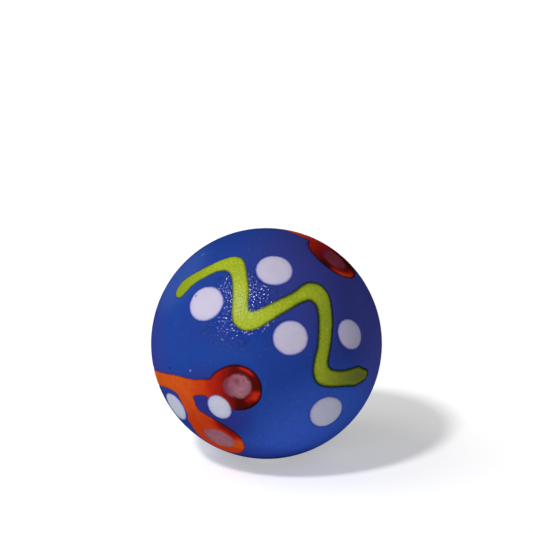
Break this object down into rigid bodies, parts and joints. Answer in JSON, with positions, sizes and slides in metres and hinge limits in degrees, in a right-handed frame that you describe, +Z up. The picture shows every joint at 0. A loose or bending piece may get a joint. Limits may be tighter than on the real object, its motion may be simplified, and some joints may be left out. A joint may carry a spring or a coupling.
{
  "type": "marble",
  "caption": "Handmade glass ball: a clear core cased in blue glass, with white dots, green zigzag threads and red branches with pale eyes melted in flush. Rolls freely.",
  "frame": {"origin": "centre of the ball", "axes": "+Z up and -Y towards the viewer, with the decorated face as it was pictured"},
  "size_m": [0.025, 0.025, 0.025],
  "materials": {
    "clear_glass": "clear, sealed inside",
    "blue_glass": "deep blue, satin and faintly pitted",
    "green_glass": "opaque yellow green with a dark rim",
    "red_glass": "see-through orange red, dark round the eyes",
    "pink_glass": "mottled dusky pink",
    "white_glass": "opaque white with a lilac cast"
  },
  "bodies": {
    "root": {"core": "clear_glass", "casing": "blue_glass", "green_thread_front": "green_glass", "green_thread_back": "green_glass", "red_branch_low": "red_glass", "red_branch_high": "red_glass", "eye_low_1": "pink_glass", "eye_low_2": "pink_glass", "eye_low_3": "pink_glass", "eye_high_1": "pink_glass", "eye_high_2": "pink_glass", "eye_high_3": "pink_glass", "white_dot_01": "white_glass", "white_dot_02": "white_glass", "white_dot_03": "white_glass", "white_dot_04": "white_glass", "white_dot_05": "white_glass", "white_dot_06": "white_glass", "white_dot_07": "white_glass", "white_dot_08": "white_glass", "white_dot_09": "white_glass", "white_dot_10": "white_glass", "white_dot_11": "white_glass", "white_dot_12": "white_glass", "white_dot_13": "white_glass", "white_dot_14": "white_glass", "white_dot_15": "white_glass"}
  },
  "joints": []
}
